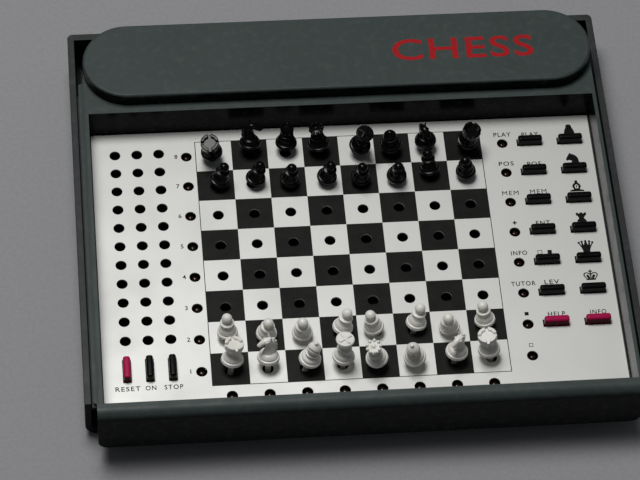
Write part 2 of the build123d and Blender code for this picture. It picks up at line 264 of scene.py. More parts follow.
@dataclass(frozen=True)
class MouldedPlastic:
    """Moulded plastic with a fine eroded grain, handling shine, faint sink marks and dust, and painted shade
    on faces that do not look up when a side colour is given.
    """

    name: str
    colour: Colour
    drift: Colour
    dull: float = 0.5
    shiny: float = 0.38
    grain: float = 0.28
    grain_depth: float = 0.006
    dust: float = 0.0
    dust_colour: Colour = (0.34, 0.33, 0.30)
    glow: float = 0.0
    specular: float = 0.5
    # side is a painted shade colour for faces that do not look up; side_rough and side_specular set their
    # roughness and shine
    side: Colour | None = None
    side_rough: float = 0.24
    side_specular: float = 0.07

    def material(self) -> bpy.types.Material:
        """The finished material. A side colour, when given, is painted shade: faces that do not look up take
        that darker colour, and the tops keep the plain colour.
        """
        recipe = Recipe(self.name)
        patches = recipe.noise(34.0, 5.0)
        colour = recipe.blend(recipe.span(patches, 0.0, 1.0), self.colour, self.drift)
        rough = recipe.span(recipe.noise(9.0, 6.0), self.shiny, self.dull)
        specular = self.specular
        if self.side:
            facing = recipe.add("ShaderNodeSeparateXYZ", {0: recipe.facing}, output=2)
            upward = recipe.span(facing, 0.0, 1.0, 0.10, 0.62)
            # Painted shade: the colour runs towards the darker side colour as a face turns away from looking
            # up
            colour = recipe.blend(upward, self.side, colour)
            rough = recipe.maths("MULTIPLY", rough,
                                 recipe.span(upward, self.side_rough / self.dull, 1.0, 0.0, 1.0))
            specular = recipe.span(upward, self.side_specular, self.specular, 0.0, 1.0)
        relief = recipe.relief(recipe.noise(26.0, 1.0), 0.05)
        relief = recipe.relief(recipe.noise(self.grain, 2.0), self.grain_depth, relief)
        if self.dust > 0:
            specks = recipe.specks(6.0, self.dust, 0.028)
            film = recipe.span(recipe.noise(3.2, 8.0), 0.0, 0.05, 0.5, 0.75)
            colour = recipe.blend(recipe.maths("MAXIMUM", specks, film), colour, self.dust_colour)
            rough = recipe.maths("MAXIMUM", rough, recipe.maths("MULTIPLY", specks, 0.8))
        recipe.set(Base_Color=colour, Roughness=rough, Normal=relief, Specular_IOR_Level=specular)
        if self.glow > 0:
            recipe.set(Subsurface_Weight=self.glow, Subsurface_Radius=(1.0, 0.85, 0.7),
                       Subsurface_Scale=0.0012)
        return recipe.material


@dataclass(frozen=True)
class PrintedPanel:
    """Pale brushed metal with the playing squares and their rule printed on its top face."""

    name: str = "panel_brushed_printed"
    metal: Colour = (0.70, 0.70, 0.68)
    shade: Colour = (0.62, 0.62, 0.605)
    ink: Colour = (0.0040, 0.0044, 0.0038)
    ink_worn: Colour = (0.0110, 0.0118, 0.0100)
    ink_shine: float = 0.12
    metal_shine: float = 0.5
    corner: tuple[float, float] = (-60.9, -75.85)
    pitch: tuple[float, float] = (14.762, 14.656)
    rule: float = 0.3
    print_depth: float = 0.02

    def printed(self, recipe: Recipe) -> bpy.types.NodeSocket:
        """The mask of the printed squares and rule.

        Args:
            recipe: The recipe that it goes into.

        Returns:
            A socket that is 1 where ink is.
        """
        place = recipe.nodes.new("ShaderNodeSeparateXYZ")
        recipe.feed(place.inputs[0], recipe.place)
        steps = []
        reach = []
        for axis, (low, pitch) in enumerate(zip(self.corner, self.pitch)):
            near = recipe.maths("SUBTRACT", place.outputs[axis], low * MM)
            step = recipe.maths("DIVIDE", near, pitch * MM)
            steps.append(step)
            reach.append(recipe.maths("ABSOLUTE", recipe.maths("SUBTRACT", step, SQUARES / 2)))
        spot = recipe.add("ShaderNodeCombineXYZ", {0: steps[0], 1: steps[1], 2: 0.5})
        pale = recipe.add("ShaderNodeTexChecker", {"Vector": spot, "Scale": 1.0}, output=1)
        edge = recipe.maths("MAXIMUM", *reach)
        inside = recipe.maths("LESS_THAN", edge, SQUARES / 2)
        ruled = recipe.maths("LESS_THAN", edge, SQUARES / 2 + self.rule / SQUARE)
        squares = recipe.maths("MULTIPLY", inside, recipe.maths("SUBTRACT", 1.0, pale))
        border = recipe.maths("SUBTRACT", ruled, inside)
        top = recipe.maths("GREATER_THAN", place.outputs[2], (PANEL_TOP - self.print_depth) * MM)
        return recipe.maths("MULTIPLY", recipe.maths("MAXIMUM", squares, border), top)

    def material(self) -> bpy.types.Material:
        """The finished material."""
        recipe = Recipe(self.name)
        ink = self.printed(recipe)
        brushing = recipe.noise(0.16, 3.0, (60.0, 1.0, 1.0))
        clouds = recipe.span(recipe.noise(22.0, 6.0), 0.0, 1.0)
        metal = recipe.blend(clouds, self.metal, self.shade)
        metal = recipe.blend(recipe.span(brushing, 0.0, 0.16), metal, self.shade)
        grime = recipe.maths("MULTIPLY", recipe.specks(7.0, 0.05, 0.03), 0.7)
        metal = recipe.blend(grime, metal, (0.10, 0.09, 0.08))
        worn = recipe.blend(recipe.span(recipe.noise(5.0, 8.0), 0.0, 1.0), self.ink, self.ink_worn)
        bare = recipe.maths("SUBTRACT", 1.0, ink)
        relief = recipe.relief(brushing, 0.004)
        relief = recipe.relief(ink, self.print_depth, relief)
        rough = recipe.maths("ADD", recipe.span(clouds, 0.40, 0.50, 0.0, 1.0),
                             recipe.maths("MULTIPLY", ink, 0.02))
        shine = recipe.span(ink, self.metal_shine, self.ink_shine, 0.0, 1.0)
        return recipe.set(Base_Color=recipe.blend(ink, metal, worn),
                          Metallic=recipe.maths("MULTIPLY", bare, 0.4),
                          Roughness=rough, Normal=relief, Specular_IOR_Level=shine)


@dataclass(frozen=True)
class Ink:
    """Screen-printed or hot-stamped colour with a slightly uneven film."""

    name: str
    colour: Colour
    thin: Colour
    roughness: float = 0.45
    specular: float = 0.12

    def material(self) -> bpy.types.Material:
        """The finished material."""
        recipe = Recipe(self.name)
        film = recipe.noise(1.1, 5.0)
        colour = recipe.blend(recipe.span(film, 0.0, 1.0), self.colour, self.thin)
        rough = recipe.span(recipe.noise(0.6, 3.0), self.roughness - 0.08, self.roughness + 0.08)
        relief = recipe.relief(recipe.noise(0.25, 2.0), 0.004)
        return recipe.set(Base_Color=colour, Roughness=rough, Normal=relief, Specular_IOR_Level=self.specular)


@dataclass(frozen=True)
class LampLens:
    """Dark red diffusing lens of an unlit lamp."""

    name: str = "lamp_red_lens"
    colour: Colour = (0.0140, 0.0008, 0.0010)
    deep: Colour = (0.0060, 0.0004, 0.0005)

    def material(self) -> bpy.types.Material:
        """The finished material."""
        recipe = Recipe(self.name)
        colour = recipe.blend(recipe.span(recipe.noise(0.8, 3.0), 0.0, 1.0), self.colour, self.deep)
        rough = recipe.span(recipe.noise(0.5, 4.0), 0.10, 0.22)
        relief = recipe.relief(recipe.noise(0.3, 2.0), 0.003)
        return recipe.set(Base_Color=colour, Roughness=rough, Normal=relief,
                          Coat_Weight=0.3, Coat_Roughness=0.12,
                          Specular_IOR_Level=0.3)


@dataclass(frozen=True)
class DrawnMetal:
    """Plated or drawn steel with fine lines, stains and small scratches."""

    name: str
    colour: Colour = (0.62, 0.61, 0.58)
    tarnish: Colour = (0.40, 0.37, 0.32)
    along: tuple = (12.0, 1.0, 1.0)

    def material(self) -> bpy.types.Material:
        """The finished material."""
        recipe = Recipe(self.name)
        stains = recipe.span(recipe.noise(4.0, 6.0), 0.0, 1.0, 0.45, 0.75)
        lines = recipe.noise(0.12, 3.0, self.along)
        colour = recipe.blend(stains, self.colour, self.tarnish)
        rough = recipe.span(lines, 0.22, 0.42)
        return recipe.set(Base_Color=colour, Metallic=1.0, Roughness=rough,
                          Normal=recipe.relief(lines, 0.006))


@dataclass(frozen=True)
class SolderMask:
    """Green circuit board with tracks showing under the mask."""

    name: str = "board_solder_mask"
    mask: Colour = (0.006, 0.040, 0.018)
    track: Colour = (0.016, 0.090, 0.036)

    def material(self) -> bpy.types.Material:
        """The finished material."""
        recipe = Recipe(self.name)
        tracks = recipe.add("ShaderNodeTexBrick", {"Vector": recipe.place, "Scale": 60.0, "Mortar Size": 0.03,
                                                   "Brick Width": 0.9, "Row Height": 0.12}, output=1)
        bend = recipe.span(recipe.noise(7.0, 1.0), 0.0, 1.0, 0.45, 0.55)
        lines = recipe.maths("MULTIPLY", tracks, bend)
        rough = recipe.span(recipe.noise(6.0, 4.0), 0.22, 0.36)
        return recipe.set(Base_Color=recipe.blend(lines, self.mask, self.track), Roughness=rough,
                          Normal=recipe.relief(lines, 0.03))


@dataclass(frozen=True)
class CellWrap:
    """Plastic sleeve of a penlight cell: dark body, pale band and bare ends, along the cell's length."""

    name: str = "cell_wrap"
    length: float = 49.5
    sleeve: Colour = (0.012, 0.014, 0.018)
    band: Colour = (0.55, 0.36, 0.10)
    metal: Colour = (0.60, 0.60, 0.58)

    def material(self) -> bpy.types.Material:
        """The finished material."""
        recipe = Recipe(self.name)
        along = recipe.add("ShaderNodeAttribute", {}, output=2, attribute_name=ALONG_CELL)
        reach = recipe.maths("ABSOLUTE", along)
        banded = recipe.maths("GREATER_THAN", along, self.length * 0.22)
        bare = recipe.maths("GREATER_THAN", reach, self.length * 0.475)
        scuffs = recipe.span(recipe.noise(2.4, 8.0), 0.0, 0.3, 0.55, 0.8)
        sleeve = recipe.blend(banded, self.sleeve, self.band)
        sleeve = recipe.blend(scuffs, sleeve, (0.20, 0.19, 0.17))
        rough = recipe.span(recipe.noise(1.2, 5.0), 0.24, 0.40)
        return recipe.set(Base_Color=recipe.blend(bare, sleeve, self.metal), Metallic=bare, Roughness=rough,
                          Normal=recipe.relief(recipe.noise(0.5, 4.0), 0.006))


@dataclass(frozen=True)
class TableTop:
    """Plain pale floor with a faint mottle."""

    name: str = "pale_floor"
    colour: Colour = (0.315, 0.315, 0.330)
    mottle: Colour = (0.285, 0.285, 0.298)

    def material(self) -> bpy.types.Material:
        """The finished material."""
        recipe = Recipe(self.name)
        weave = recipe.noise(1.6, 6.0)
        colour = recipe.blend(recipe.span(weave, 0.0, 1.0), self.colour, self.mottle)
        return recipe.set(Base_Color=colour, Roughness=0.85, Normal=recipe.relief(weave, 0.05))


@dataclass
class Finishes:
    """Every finish of the object, made once."""

    housing: bpy.types.Material = field(init=False)
    cover: bpy.types.Material = field(init=False)
    panel: bpy.types.Material = field(init=False)
    key_black: bpy.types.Material = field(init=False)
    key_red: bpy.types.Material = field(init=False)
    lamp: bpy.types.Material = field(init=False)
    white_men: bpy.types.Material = field(init=False)
    black_men: bpy.types.Material = field(init=False)
    board: bpy.types.Material = field(init=False)
    cell: bpy.types.Material = field(init=False)
    spring_steel: bpy.types.Material = field(init=False)
    screw: bpy.types.Material = field(init=False)
    foot: bpy.types.Material = field(init=False)
    legend: bpy.types.Material = field(init=False)
    mark: bpy.types.Material = field(init=False)

    def __post_init__(self) -> None:
        """Make the materials."""
        # The housing and cover side colours are painted shade: their faces that do not look up are painted
        # near black
        self.housing = MouldedPlastic("housing_anthracite", (0.0370, 0.0530, 0.0505),
                                      (0.0310, 0.0455, 0.0430), 0.56,
                                      0.44, dust=0.045, specular=0.3,
                                      side=(0.0012, 0.0024, 0.0026)).material()
        self.cover = MouldedPlastic("cover_anthracite", (0.0280, 0.0310, 0.0315),
                                    (0.0240, 0.0270, 0.0275), 0.54,
                                    0.42, dust=0.03, specular=0.25, side=(0.0022, 0.0030, 0.0036)).material()
        self.panel = PrintedPanel().material()
        self.key_black = MouldedPlastic("key_black_satin", (0.0030, 0.0030, 0.0028),
                                        (0.0022, 0.0022, 0.0022), 0.34,
                                        0.24, grain=0.2, grain_depth=0.002, specular=0.12).material()
        # The red keys' side colour is painted shade: their fronts and flanks are painted a darker crimson
        # than their tops
        self.key_red = MouldedPlastic("key_crimson_satin", (0.44, 0.010, 0.085),
                                      (0.38, 0.008, 0.070), 0.34, 0.24,
                                      grain=0.2, grain_depth=0.002, specular=0.12,
                                      side=(0.085, 0.0020, 0.0080)).material()
        self.lamp = LampLens().material()
        self.white_men = MouldedPlastic("men_white_satin", (0.90, 0.89, 0.85), (0.85, 0.83, 0.77), 0.40, 0.28,
                                        grain=0.4, grain_depth=0.004, glow=0.20).material()
        self.black_men = MouldedPlastic("men_black_satin", (0.0024, 0.0024, 0.0024),
                                        (0.0018, 0.0018, 0.0018), 0.26,
                                        0.20, grain=0.4, grain_depth=0.002, specular=0.18).material()
        self.board = SolderMask().material()
        self.cell = CellWrap().material()
        self.spring_steel = DrawnMetal("contact_spring_steel").material()
        self.screw = DrawnMetal("screw_zinc", (0.56, 0.55, 0.50), (0.34, 0.31, 0.24),
                                (1.0, 1.0, 6.0)).material()
        self.foot = MouldedPlastic("foot_rubber", (0.014, 0.014, 0.014), (0.020, 0.020, 0.019), 0.85, 0.70,
                                   grain=0.5, grain_depth=0.02, dust=0.03).material()
        self.legend = Ink("legend_black_ink", (0.0020, 0.0020, 0.0020), (0.0045, 0.0045, 0.0042)).material()
        self.mark = Ink("mark_red_foil", (0.42, 0.012, 0.016), (0.33, 0.010, 0.013), 0.42).material()


# ---------------------------------------------------------------- workshop


@dataclass
class Bench:
    """Where meshes are made, stacks are applied and finished pieces go to their bodies."""

    finishes: Finishes
    made: int = 0

    def rough(self, mesh: bpy.types.Mesh) -> bpy.types.Object:
        """A loose object on the bench.

        Args:
            mesh: Its mesh.

        Returns:
            The object.
        """
        made = bpy.data.objects.new("rough", mesh)
        bpy.context.scene.collection.objects.link(made)
        return made

    def applied(self, rough: bpy.types.Object) -> bpy.types.Mesh:
        """The mesh that a loose object's stack gives. The object is removed.

        Args:
            rough: The loose object.

        Returns:
            The finished mesh.
        """
        graph = bpy.context.evaluated_depsgraph_get()
        mesh = bpy.data.meshes.new_from_object(rough.evaluated_get(graph))
        bpy.data.objects.remove(rough)
        return mesh

    def rounded(self, mesh: bpy.types.Mesh, width: float, segments: int = 3) -> bpy.types.Mesh:
        """A small part with its edges rounded.

        Args:
            mesh: The part, in millimetres.
            width: The rounding in millimetres.
            segments: The facets of the rounding.

        Returns:
            The rounded mesh.
        """
        mesh.shade_smooth()
        rough = self.rough(mesh)
        bevel = rough.modifiers.new("round", "BEVEL")
        bevel.width = width
        bevel.segments = segments
        bevel.limit_method = "ANGLE"
        bevel.harden_normals = False
        return self.applied(rough)

    def joined(self, parts: Sequence[tuple[bpy.types.Mesh, Matrix]]) -> bpy.types.Mesh:
        """Several meshes as one.

        Args:
            parts: Each mesh and its place.

        Returns:
            The joined mesh.
        """
        shell = bmesh.new()
        for mesh, place in parts:
            copy = mesh.copy()
            copy.transform(place)
            shell.from_mesh(copy)
            bpy.data.meshes.remove(copy)
        mesh = bpy.data.meshes.new("joined")
        shell.to_mesh(mesh)
        shell.free()
        return mesh

    def piece(self, name: str, mesh: bpy.types.Mesh, body: str, slot: Slot, material: bpy.types.Material,
              stands_for: Sequence[str] = ()) -> bpy.types.Object:
        """Make a finished mesh into a piece that rides on its CAD body.

        Args:
            name: The piece's name.
            mesh: Its mesh, in place, in metres.
            body: The CAD body that it rides on.
            slot: The record's slot. Not used.
            material: Its material.
            stands_for: The CAD nodes that it replaces.

        Returns:
            The piece.
        """
        mesh.name = name
        mesh.materials.clear()
        mesh.materials.append(material)
        made = bpy.data.objects.new(name, mesh)
        bpy.context.scene.collection.objects.link(made)
        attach(made, body)
        if stands_for:
            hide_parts(*stands_for)
        self.made += 1
        LOG.info("piece %s on %s: %d faces", name, body, len(mesh.polygons))
        return made

    def dressed(self, node: str, slot: Slot, material: bpy.types.Material) -> None:
        """Give a CAD node that stays its finish.

        Args:
            node: The node's name.
            slot: The record's slot. Not used.
            material: Its material.
        """
        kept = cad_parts[node]
        kept.data.materials.clear()
        kept.data.materials.append(material)
        LOG.info("node %s dressed with %s", node, material.name)

    def softened(self, made: bpy.types.Object, width: float, segments: int = 2, angle: float = 35.0) -> None:
        """Round a piece's sharp edges with a live stack.

        Args:
            made: The piece.
            width: The width of the rounding in millimetres.
            segments: How many facets the rounding has.
            angle: Edges sharper than this many degrees are rounded.
        """
        made.data.shade_smooth()
        bevel = made.modifiers.new("soft_edges", "BEVEL")
        bevel.width = width * MM
        bevel.segments = segments
        bevel.limit_method = "ANGLE"
        bevel.angle_limit = math.radians(angle)
        bevel.harden_normals = True
        weighted = made.modifiers.new("even_shading", "WEIGHTED_NORMAL")
        weighted.weight = 100
        weighted.keep_sharp = False


def placed(x: float, y: float, z: float) -> Matrix:
    """A place in metres for a mesh made in millimetres."""
    return Matrix.Scale(MM, 4) @ Matrix.Translation((x, y, z))


def prism(outline: Sequence[tuple[float, float]], low: float, high: float) -> bpy.types.Mesh:
    """A closed prism over a plane outline.

    Args:
        outline: The corners, anticlockwise from above.
        low: The height of its underside.
        high: The height of its top.

    Returns:
        The mesh.
    """
    count = len(outline)
    points = [(x, y, low) for x, y in outline] + [(x, y, high) for x, y in outline]
    faces = [tuple(reversed(range(count))), tuple(range(count, 2 * count))]
    faces += [(i, (i + 1) % count, count + (i + 1) % count, count + i) for i in range(count)]
    mesh = bpy.data.meshes.new("prism")
    mesh.from_pydata(points, [], faces)
    return mesh


def slab(half_x: float, half_y: float, low: float, high: float) -> bpy.types.Mesh:
    """A rectangular prism about the Z axis."""
    corners = ((-half_x, -half_y), (half_x, -half_y), (half_x, half_y), (-half_x, half_y))
    return prism(corners, low, high)


def closed(mesh: bpy.types.Mesh, distance: float = 1e-5) -> bpy.types.Mesh:
    """The mesh with its doubled points merged."""
    shell = bmesh.new()
    shell.from_mesh(mesh)
    bmesh.ops.remove_doubles(shell, verts=shell.verts, dist=distance)
    shell.to_mesh(mesh)
    shell.free()
    return mesh


def merged_copy(node: str) -> bpy.types.Mesh:
    """A CAD node's mesh with its loose triangles merged and its flat faces joined.

    Args:
        node: The node's name.

    Returns:
        The merged copy, in metres, in place.
    """
    shell = bmesh.new()
    shell.from_mesh(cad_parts[node].data)
    bmesh.ops.remove_doubles(shell, verts=shell.verts, dist=1e-6)
    bmesh.ops.dissolve_limit(shell, angle_limit=math.radians(0.5), verts=shell.verts, edges=shell.edges)
    mesh = bpy.data.meshes.new(node)
    shell.to_mesh(mesh)
    shell.free()
    return mesh


@dataclass(frozen=True)
class Turning:
    """A turned solid given by its outline from top to bottom, in millimetres."""

    outline: Outline
    steps: int = 14
    levels: int = 2
    passes: int = 4

    def cage(self) -> list[Vector]:
        """The coarse outline whose subdivided surface passes through the wanted one."""
        swell = 3.0 / (2.0 + math.cos(math.tau / self.steps))
        wanted = [Vector((radius * swell, 0.0, height)) for radius, height in self.outline]
        cage = [point.copy() for point in wanted]
        for _ in range(self.passes):
            limit = [(cage[i - 1] + 4 * cage[i] + cage[i + 1]) / 6 for i in range(1, len(cage) - 1)]
            for i, point in enumerate(limit, start=1):
                cage[i] += (wanted[i] - point) * 0.8
                cage[i].x = max(cage[i].x, 0.02)
        return cage

    def mesh(self, bench: Bench) -> bpy.types.Mesh:
        """Turn and smooth the outline.

        Args:
            bench: The bench that applies the stack.

        Returns:
            The turned mesh.
        """
        cage = self.cage()
        wire = bpy.data.meshes.new("outline")
        wire.from_pydata(cage, [(i, i + 1) for i in range(len(cage) - 1)], [])
        rough = bench.rough(wire)
        screw = rough.modifiers.new("turn", "SCREW")
        screw.steps = screw.render_steps = self.steps
        screw.use_merge_vertices = True
        screw.merge_threshold = 0.005
        screw.use_smooth_shade = True
        smooth = rough.modifiers.new("smooth", "SUBSURF")
        smooth.levels = smooth.render_levels = self.levels
        return bench.applied(rough)


# ---------------------------------------------------------------- sub-assemblies


@dataclass
class Shells:
    """The two shells of the body, the stowed cover and the battery door."""

    bench: Bench
    edge: float = 0.22
    cover_edge: float = 0.35
    film_room: float = 0.04

    def build(self) -> None:
        """Soften the moulded edges of each shell and dress it."""
        finishes = self.bench.finishes
        for node, body, slot, material, width in (
                ("top_housing", HOUSING, Slot.HOUSING, finishes.housing, self.edge),
                ("bottom_housing", HOUSING, Slot.HOUSING, finishes.housing, self.edge),
                ("battery_door", "battery_door", Slot.HOUSING, finishes.housing, self.edge / 2),
                ("cover", "cover", Slot.COVER, finishes.cover, self.cover_edge)):
            mesh = merged_copy(node)
            for vertex in mesh.vertices:
                if vertex.co.z > (HUMP_TOP - 0.001) * MM:
                    vertex.co.z -= self.film_room * MM
            made = self.bench.piece(f"{node}_shell", mesh, body, slot, material, (node,))
            self.bench.softened(made, width)


STROKE_WEIGHT = 0.012           # how much bolder than the plain face the letters' strokes are
STROKE_WEIGHTS = {"+": 0.05, "MEM": 0.0}


@dataclass
class Lettering:
    """Plain capitals cut from a thin film."""

    bench: Bench
    film: float = 0.03

    def word(self, text: str, height: float, width: float = 0.0, spacing: float = 1.2) -> bpy.types.Mesh:
        """One word centred on the origin.

        Args:
            text: The word.
            height: The height of its capitals in millimetres.
            width: Its whole width in millimetres, or 0 to keep its proportions.
            spacing: How far apart its letters stand.

        Returns:
            The word's closed mesh, in millimetres.
        """
        curve = bpy.data.curves.new("word", "FONT")
        curve.body = text
        curve.space_character = spacing
        curve.offset = STROKE_WEIGHTS.get(text, STROKE_WEIGHT)
        curve.extrude = 0.5
        curve.resolution_u = 4
        loose = bpy.data.objects.new("word", curve)
        bpy.context.scene.collection.objects.link(loose)
        mesh = closed(self.bench.applied(loose))
        bpy.data.curves.remove(curve)
        xs = [vertex.co.x for vertex in mesh.vertices]
        ys = [vertex.co.y for vertex in mesh.vertices]
        tall = height / (max(ys) - min(ys))
        wide = width / (max(xs) - min(xs)) if width else tall
        centre = Matrix.Translation((-(max(xs) + min(xs)) / 2, -(max(ys) + min(ys)) / 2, 0.5))
        mesh.transform(Matrix.Diagonal((wide, tall, self.film, 1.0)) @ centre)
        return mesh

    def sign(self, outline: Sequence[tuple[float, float]]) -> bpy.types.Mesh:
        """A small sign cut from the same film."""
        return prism(outline, 0.0, self.film)


@dataclass
class Panel:
    """The printed metal panel with all its legends."""

    bench: Bench
    hole_edge: float = 0.10
    lift: float = 0.01
    lamp_words: tuple = (("PLAY", 7.2), ("POS", 6.2), ("MEM", 6.8), ("+", 1.7), ("INFO", 6.6),
                         ("TUTOR", 10.0))
    key_words: tuple = (("PLAY", 7.0), ("POS", 5.8), ("MEM", 6.8), ("ENT", 5.8), ("", 0.0), ("LEV", 6.0),
                        ("HELP", 7.0))
    power_words: tuple = (("RESET", 9.8), ("ON", 4.2), ("STOP", 7.4))
    word_height: float = 2.1
    plus_height: float = 1.7
    digit_height: float = 2.0
    lamp_word_rise: float = 4.5
    key_word_rise: float = 3.8
    key_word_rises: tuple = (4.1, 3.9, 4.7, 3.9, 0.0, 4.7, 4.2)
    info_rise: float = 4.3
    word_shift: float = 0.45
    power_word_y: float = -75.6
    digits_x: float = -69.2

    def row_y(self, row: int) -> float:
        """The middle of a row of squares, counted from the rear."""
        return BOARD_Y + (SQUARES - row - 0.5) * SQUARE

    def at(self, x: float, y: float) -> Matrix:
        """A place on the panel's face."""
        return placed(x, y, PANEL_TOP + self.lift)

    def legends(self, letters: Lettering) -> dict[str, list]:
        """Every legend of the panel, in groups.

        Args:
            letters: The maker of the words.

        Returns:
            The meshes and places of each group, by the group's name.
        """
        lamps = []
        keys = []
        for row, (text, width) in enumerate(self.lamp_words):
            height = self.plus_height if text == "+" else self.word_height
            lamps.append((letters.word(text, height, width),
                          self.at(FUNCTION_LAMP_X + self.word_shift, self.row_y(row) + self.lamp_word_rise)))
        solid = [(-0.8, -0.8), (0.8, -0.8), (0.8, 0.8), (-0.8, 0.8)]
        for row, sign in ((6, [solid]), (7, self.hollow(0.85, 0.22))):
            lamps += [(letters.sign(part),
                       self.at(FUNCTION_LAMP_X, self.row_y(row) + self.lamp_word_rise + 0.4))
                      for part in sign]
        for row, (text, width) in enumerate(self.key_words):
            y = self.row_y(row) + self.key_word_rises[row]
            if text:
                keys.append((letters.word(text, self.word_height, width),
                             self.at(FUNCTION_KEYS_X + 0.2 + self.word_shift, y)))
        side_y = self.row_y(4) + self.key_word_rise + 0.6
        keys += [(letters.sign(part), self.at(FUNCTION_KEYS_X - 2.4, side_y))
                 for part in self.hollow(0.95, 0.22)]
        keys.append((letters.sign([(x * 1.1, y * 1.1) for x, y in solid]),
                     self.at(FUNCTION_KEYS_X + 1.6, side_y)))
        info_y = self.row_y(6) + self.info_rise
        keys.append((letters.word("INFO", self.word_height, 6.6),
                     self.at(PIECE_KEYS_X + 0.3 + self.word_shift, info_y)))
        power = [(letters.word(text, self.word_height, width), self.at(STORE_X + column * STORE_PITCH,
                                                                      self.power_word_y))
                 for column, (text, width) in enumerate(self.power_words)]
        digits = [(letters.word(str(SQUARES - row), self.digit_height),
                   self.at(self.digits_x, self.row_y(row) + 0.3)) for row in range(SQUARES)]
        return {"legend_lamps": lamps, "legend_keys": keys, "legend_power": power, "legend_ranks": digits}

    def hollow(self, half: float, line: float) -> list[list[tuple[float, float]]]:
        """The four strokes of a small open square.

        Args:
            half: Half its outer size.
            line: Its line width.

        Returns:
            The strokes' outlines.
        """
        inner = half - line
        return [[(-half, -half), (half, -half), (half, -inner), (-half, -inner)],
                [(-half, inner), (half, inner), (half, half), (-half, half)],
                [(-half, -inner), (-inner, -inner), (-inner, inner), (-half, inner)],
                [(inner, -inner), (half, -inner), (half, inner), (inner, inner)]]

    def icons(self, letters: Lettering) -> list[tuple[bpy.types.Mesh, Matrix]]:
        """The printed signs of the chessmen above the piece keys.

        Args:
            letters: The maker of the signs.

        Returns:
            The meshes and their places.
        """
        parts = []
        for row, outlines in enumerate(PIECE_ICONS.values()):
            base = self.row_y(row) + ICON_BASES[row]
            x = PIECE_KEYS_X + (self.word_shift if row == 0 else 0.0)
            parts += [(letters.sign(outline), self.at(x, base)) for outline in outlines]
        return parts

    def build(self) -> None:
        """Make the plate and its legends."""
        bench = self.bench
        plate = bench.piece("panel_face", merged_copy("panel_plate"), HOUSING, Slot.PANEL,
                            bench.finishes.panel,
                            ("panel_plate",))
        bench.softened(plate, self.hole_edge, 1)
        letters = Lettering(bench)
        groups = self.legends(letters)
        groups["legend_icons"] = self.icons(letters)
        for name, parts in groups.items():
            bench.piece(name, bench.joined(parts), HOUSING, Slot.KEY_BLACK, bench.finishes.legend)


def mirrored(half: Outline) -> list[tuple[float, float]]:
    """A sign's whole outline from its right half, bottom to top."""
    return list(half) + [(-x, y) for x, y in reversed(half) if x > 0]


def dot(x: float, y: float, radius: float, corners: int = 10) -> list[tuple[float, float]]:
    """A small round dot's outline."""
    turns = [math.tau * i / corners for i in range(corners)]
    return [(x + radius * math.cos(turn), y + radius * math.sin(turn)) for turn in turns]


PIECE_ICONS: dict[Man, list] = {
    Man.PAWN: [mirrored(((2.2, 0.0), (2.2, 1.4), (2.1, 2.4), (1.75, 3.4), (1.25, 4.5), (1.2, 5.2),
                         (0.75, 5.9), (0.0, 6.05)))],
    Man.KNIGHT: [[(-0.7, 0.0), (2.4, 0.0), (2.7, 2.2), (2.5, 3.8), (1.8, 5.1), (0.8, 5.9), (-0.2, 6.2),
                  (-0.7, 6.7), (-1.2, 6.2), (-1.8, 5.2), (-2.5, 3.9), (-2.6, 3.2), (-2.0, 2.9),
                  (-1.5, 3.2), (-1.0, 3.1),
                  (-0.2, 2.7), (-0.4, 2.2), (-0.8, 1.6), (-0.9, 0.8)]],
    Man.BISHOP: [mirrored(((2.9, 0.0), (2.9, 0.55), (1.6, 0.95), (0.5, 0.8), (0.0, 0.9))),
                 mirrored(((1.25, 0.8), (1.35, 1.5), (0.0, 1.5))),
                 *[[(side * x, y) for x, y in ((1.25, 1.4), (1.8, 2.4), (1.5, 3.5), (0.4, 4.6), (0.0, 4.7),
                                               (0.0, 3.6), (0.7, 3.0), (0.8, 2.2), (0.5, 1.4))][::side]
                   for side in (1, -1)],
                 dot(0.0, 4.9, 0.65), [(-0.22, 2.0), (0.22, 2.0), (0.22, 3.0), (-0.22, 3.0)]],
    Man.ROOK: [mirrored(((2.1, 0.0), (1.7, 1.0), (1.15, 1.6), (1.05, 2.1), (1.5, 2.9), (2.1, 3.4), (2.1, 4.6),
                         (1.25, 4.6), (1.25, 4.15), (0.6, 4.15), (0.6, 4.6)))],
    Man.QUEEN: [mirrored(((1.45, 0.0), (1.5, 1.2), (2.1, 2.8), (2.95, 4.4), (2.6, 4.7), (1.75, 3.3),
                          (1.85, 5.0), (1.3, 5.1), (0.85, 3.5), (0.35, 5.3), (0.0, 5.35))),
                *[dot(x, y, 0.5) for x, y in ((-2.8, 4.8), (-1.55, 5.3), (0.0, 5.5), (1.55, 5.3),
                                             (2.8, 4.8))]],
    Man.KING: [mirrored(((1.9, 0.0), (1.95, 0.65), (0.0, 0.8))),
               *[[(side * x, y) for x, y in lobe][::side] for side in (1, -1) for lobe in (
                   ((1.5, 0.6), (1.95, 0.65), (2.95, 2.2), (2.8, 3.2), (2.0, 3.7), (1.9, 3.2), (2.35, 2.9),
                    (2.45, 2.3)),
                   ((0.0, 2.9), (0.7, 3.5), (1.4, 3.75), (2.05, 3.7), (1.95, 3.25), (1.35, 3.3), (0.8, 2.95),
                    (0.0, 2.3)),
                   ((0.3, 0.7), (1.2, 0.7), (1.85, 2.2), (1.3, 2.75), (0.6, 2.1)))],
               [(-0.25, 0.7), (0.25, 0.7), (0.25, 5.0), (-0.25, 5.0)],
               [(-0.8, 3.95), (0.8, 3.95), (0.8, 4.45), (-0.8, 4.45)]],
}
ICON_BASES = (2.3, 1.8, 3.9, 3.5, 3.3, 4.7)


@dataclass
class Mark:
    """The plain red word stamped on the hump."""

    bench: Bench
    word: str = "CHESS"
    height: float = 11.0
    width: float = 59.0
    x: float = 52.0
    y: float = 69.15
    film: float = 0.04

    def build(self) -> None:
        """Make the stamped word."""
        letters = Lettering(self.bench, film=self.film)
        mesh = letters.word(self.word, self.height, self.width, 1.1)
        mesh.transform(placed(self.x, self.y, HUMP_TOP - self.film))
        self.bench.piece("hump_word", mesh, HOUSING, Slot.KEY_RED, self.bench.finishes.mark)


